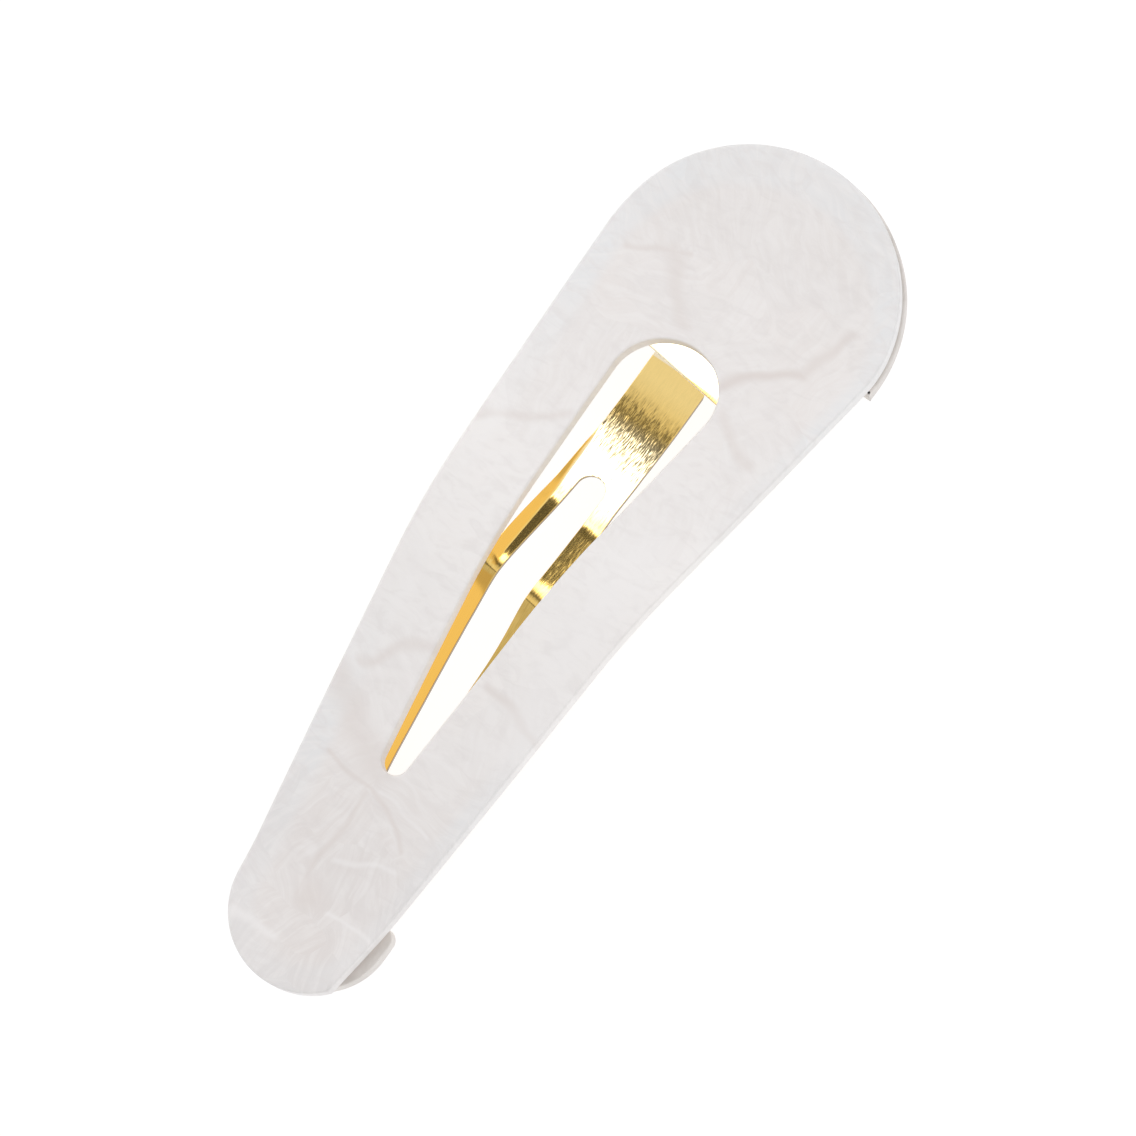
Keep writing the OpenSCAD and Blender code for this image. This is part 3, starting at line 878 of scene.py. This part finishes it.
def gold_material(name, cut_shade_tone):
    """Gold-plated steel, brushed along the clip, with painted shade on its cut edges in the given tone."""
    mat, nodes, shader = new_material(name)
    brushing = nodes.noise(nodes.millimetres((0.75, 0.1, 1.0)), 1.0, 2.0, 0.6)
    mottle = nodes.noise(nodes.millimetres((0.5, 0.16, 0.5)), 1.0, 2.0, 0.6)
    smooth = nodes.add("ShaderNodeNewGeometry").outputs["Normal"]
    along = nodes.add("ShaderNodeSeparateXYZ", {0: nodes.millimetres()}).outputs["X"]
    tone = nodes.mixed(nodes.ranged(mottle, 0.3, 0.7), DEEP_GOLD, LIGHT_GOLD)
    streaks = nodes.noise(nodes.millimetres((1.6, 0.11, 1.0)), 1.0, 2.0, 0.6)
    tone = nodes.mixed(nodes.ranged(streaks, 0.42, 0.66, 0.0, 0.4), tone, STREAK_GOLD)
    # Painted highlight: paler gold towards the crease
    highlighted = nodes.mixed(nodes.ranged(along, CREASE_X - 5, CREASE_X - 1.5), tone, CREASE_HIGHLIGHT_GOLD)
    # Painted highlight: the strip past the slot's start and the frame's root beyond the crease are painted
    # pale
    past_slot = nodes.ranged(along, HIGHLIGHT_FROM - 2, HIGHLIGHT_FROM + 2)
    short_of_band = nodes.ranged(along, CREASE_X - 5, CREASE_X - 7)
    washed_highlight = nodes.math("MULTIPLY", past_slot, short_of_band)
    highlighted = nodes.mixed(washed_highlight, highlighted, HIGHLIGHT_TONE)
    highlighted = nodes.mixed(nodes.ranged(along, CREASE_X, CREASE_X + 0.1), highlighted, ROOT_HIGHLIGHT_TONE)
    # Painted reflection: the far turned-up edge is painted orange, as gold reflecting the gold beside it
    edge = nodes.add("ShaderNodeAttribute", attribute_name=TURNED_UP).outputs["Fac"]
    edge_reflected = nodes.mixed(edge, highlighted, EDGE_REFLECTION_GOLD)
    # Painted shade: faces that lean away from up and down, the cut edges, take the darker cut tone
    facing = nodes.add("ShaderNodeSeparateXYZ", {0: smooth}).outputs["Z"]
    cut = nodes.ranged(nodes.math("ABSOLUTE", facing), 0.6, 0.35)
    edged = nodes.mixed(cut, edge_reflected, cut_shade_tone)
    nodes.tree.links.new(edged, shader.inputs["Base Color"])
    rough = nodes.ranged(brushing, 0.3, 0.7, 0.08, 0.12)
    nodes.tree.links.new(rough, shader.inputs["Roughness"])
    # Each brushed streak leans its own way along the clip, most of all where the tongue bends down
    flat_end = nodes.ranged(along, CREASE_X - 0.2, CREASE_X + 0.1, 1.0, 0.05)
    rubbed = nodes.ranged(along, SLOT_X0, SLOT_X0 + 3, BRUSH_TILT / 3, BRUSH_TILT)
    plain = nodes.ranged(along, CREASE_X - 4.5, CREASE_X - 2.5, 1.0, 0.25)
    lean = nodes.math("MULTIPLY", nodes.math("SUBTRACT", brushing, 0.5), rubbed)
    lean = nodes.math("MULTIPLY", lean, plain)
    lean = nodes.math("MULTIPLY", lean, flat_end)
    tilted = nodes.vector("ADD", smooth, nodes.scaled((1, 0, 0), lean))
    normal = nodes.vector("NORMALIZE", tilted, (0, 0, 0))
    nodes.tree.links.new(normal, shader.inputs["Normal"])
    shader.inputs["Metallic"].default_value = 1.0
    return mat


pearl, pad = pearl_material(), pad_material()
gold = gold_material("brushed_gold", CUT_GOLD)
gold_shaded_cuts = gold_material("gold_shaded_cuts", SHADED_CUT_GOLD)


def dress(obj, body, material, slot, *replaced):
    obj.data.materials.clear()
    obj.data.materials.append(material)
    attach(obj, body)
    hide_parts(*replaced)
    return obj


plate = dress(build_plate(), "clip", pearl, "pearl", "plate")
# The window's walls don't darken the metal beside them
plate.visible_glossy = False
dress(build_wide_pad(), "clip", pad, "pad", "wide_pad")
dress(build_narrow_pad(), "clip", pad, "pad", "narrow_pad")
dress(build_frame(), "clip", gold, "gold", "frame")
dress(build_tongue(), "tongue", gold_shaded_cuts, "gold", "tongue")
for material_slot in nodes["rivet"].material_slots:
    material_slot.material = gold

# Half the floor's side, in metres, and its dark tone and strong glow, which leave hardly any shadow on it
FLOOR_HALF = 1.5
FLOOR_TONE = (0.2, 0.2, 0.2, 1)
FLOOR_GLOW = 0.88


def build_floor():
    corners = [(-1, -1), (1, -1), (1, 1), (-1, 1)]
    mesh = bpy.data.meshes.new("floor")
    mesh.from_pydata([(x * FLOOR_HALF, y * FLOOR_HALF, 0) for x, y in corners], [], [(0, 1, 2, 3)])
    floor = bpy.data.objects.new("floor", mesh)
    bpy.context.scene.collection.objects.link(floor)
    mat, nodes, shader = new_material("white_floor")
    shader.inputs["Base Color"].default_value = FLOOR_TONE
    shader.inputs["Roughness"].default_value = 0.9
    shader.inputs["Specular IOR Level"].default_value = 0.0
    shader.inputs["Emission Color"].default_value = (1, 1, 1, 1)
    shader.inputs["Emission Strength"].default_value = FLOOR_GLOW
    mesh.materials.append(mat)


build_floor()

# Camera, from the photo's viewing angle

PHOTO = 1136
# Where the photo's long axis of the clip points, in image pixels, and the pixel that the axes cross
AXIS = (0.58935335, -0.80787538)
CENTRE_PX = (569.33, 530.16)
# Point of the clip that the camera is aimed by, in millimetres, and its offset in pixels from the crossing
TARGET = (0.22, 0, 4.2)
OFFSET_PX = (-40.21, 4.34)
# Roll of the picture, and how far the camera leans to the narrow end and to the near side, in radians
ROLL, TILT_U, TILT_V = -0.0065, math.radians(4.03), math.radians(14)
# Millimetres from the camera to the target, and the picture's pixels per millimetre there
DISTANCE = 450
SCALE = 12.32


def build_camera():
    # Directions in (X, -Y, Z): along the clip on the picture, across it, and back towards the camera
    cu, su, cv, sv = math.cos(TILT_U), math.sin(TILT_U), math.cos(TILT_V), math.sin(TILT_V)
    e1, e2, e3 = (cu, sv * su, cv * su), (0, cv, -sv), (-su, sv * cu, cv * cu)
    cr, sr = math.cos(ROLL), math.sin(ROLL)
    along = [a * cr - b * sr for a, b in zip(e1, e2)]
    across = [a * sr + b * cr for a, b in zip(e1, e2)]
    right = Vector([AXIS[0] * a - AXIS[1] * b for a, b in zip(along, across)])
    down = Vector([AXIS[1] * a + AXIS[0] * b for a, b in zip(along, across)])
    back = Vector(e3)
    for v in (right, down, back):
        v.y = -v.y
    up = -down
    data = bpy.data.cameras.new("camera")
    camera = bpy.data.objects.new("camera", data)
    bpy.context.scene.collection.objects.link(camera)
    place = (Vector(TARGET) + back * DISTANCE) * MM
    camera.matrix_world = Matrix.Translation(place) @ Matrix(
        ((right.x, up.x, back.x), (right.y, up.y, back.y), (right.z, up.z, back.z))).to_4x4()
    data.sensor_width = 36
    data.lens = SCALE * DISTANCE * data.sensor_width / PHOTO
    ox = CENTRE_PX[0] + OFFSET_PX[0] * AXIS[0] - OFFSET_PX[1] * AXIS[1]
    oy = CENTRE_PX[1] + OFFSET_PX[0] * AXIS[1] + OFFSET_PX[1] * AXIS[0]
    data.shift_x = (PHOTO / 2 - ox) / PHOTO
    data.shift_y = (oy - PHOTO / 2) / PHOTO
    data.clip_start, data.clip_end = 0.01, 10
    bpy.context.scene.camera = camera


build_camera()

# Light: a pale tent with a bright strip over the wide end, and dark strips on both sides of it

Stop = namedtuple("Stop", "lean radiance")
# Radiance by how far a direction leans from straight up towards the wide end, in degrees
TENT = [
    Stop(-90, 1.1),
    Stop(-72, 1.1),
    Stop(-60, 0.68),
    Stop(-50, 0.62),
    Stop(-40, 0.56),
    Stop(-8.5, 0.6),
    Stop(-7.5, 0.12),
    Stop(-4.5, 0.12),
    Stop(-3.5, 0.75),
    Stop(2, 0.88),
    Stop(6, 0.86),
    Stop(9.2, 0.8),
    Stop(12, 0.7),
    Stop(14.4, 0.6),
    Stop(16.7, 0.36),
    Stop(18.3, 0.16),
    Stop(20.5, 0.14),
    Stop(22.5, 0.35),
    Stop(24, 0.62),
    Stop(25.5, 0.95),
    Stop(28, 1.6),
    Stop(30, 3.6),
    Stop(36.4, 4.4),
    Stop(37.2, 0.75),
    Stop(38.8, 0.7),
    Stop(39.6, 0.13),
    Stop(44, 0.09),
    Stop(50, 0.13),
    Stop(58, 0.2),
    Stop(75, 0.8),
]
BRIGHTEST = max(stop.radiance for stop in TENT)
# The tent's near and far sides are plain, by how far directions lean towards them
NEAR_WITHIN, NEAR_BEYOND = 0.0, 0.12
NEAR_RADIANCE = 0.95
FAR_WITHIN, FAR_BEYOND = 0.45, 0.6
FAR_RADIANCE = 1.75
# The far side is left out towards the narrow end: X of the directions where it starts and is full
FAR_FROM, FAR_FULL = -0.3, -0.1
# Share of straight up below which the walls are plain, and above which they are as given above
WALLS_BELOW, TENT_ABOVE = 0.2, 0.34
WALL_RADIANCE = 0.65


def build_world():
    world = bpy.data.worlds.new("studio")
    bpy.context.scene.world = world
    world.use_nodes = True
    nodes = Nodes(world.node_tree)
    background = world.node_tree.nodes["Background"]
    direction = nodes.add("ShaderNodeTexCoord").outputs["Generated"]
    parts = nodes.add("ShaderNodeSeparateXYZ", {0: direction})
    lean = nodes.math("ARCTAN2", parts.outputs["X"], parts.outputs["Z"])
    share = nodes.math("ADD", nodes.math("DIVIDE", lean, math.pi), 0.5)
    ramp = nodes.add("ShaderNodeValToRGB", {"Fac": share})
    elements = ramp.color_ramp.elements
    for i, stop in enumerate(TENT):
        element = elements[i] if i < 2 else elements.new(1)
        element.position = (stop.lean + 90) / 180
    for element, stop in zip(elements, TENT):
        grey = stop.radiance / BRIGHTEST
        element.color = (grey, grey, grey, 1)
    tent = nodes.scaled(ramp.outputs["Color"], BRIGHTEST)
    near = nodes.ranged(parts.outputs["Y"], -NEAR_WITHIN, -NEAR_BEYOND)
    far = nodes.ranged(parts.outputs["Y"], FAR_WITHIN, FAR_BEYOND)
    far = nodes.math("MULTIPLY", far, nodes.ranged(parts.outputs["X"], FAR_FROM, FAR_FULL))
    high = nodes.ranged(parts.outputs["Z"], WALLS_BELOW, TENT_ABOVE)
    sided = nodes.mixed(near, tent, (NEAR_RADIANCE,) * 3)
    sided = nodes.mixed(far, sided, (FAR_RADIANCE,) * 3)
    walled = nodes.mixed(high, (WALL_RADIANCE,) * 3, sided)
    nodes.tree.links.new(walled, background.inputs["Color"])
    background.inputs["Strength"].default_value = 1.0


build_world()
bpy.context.scene.view_settings.view_transform = "Standard"
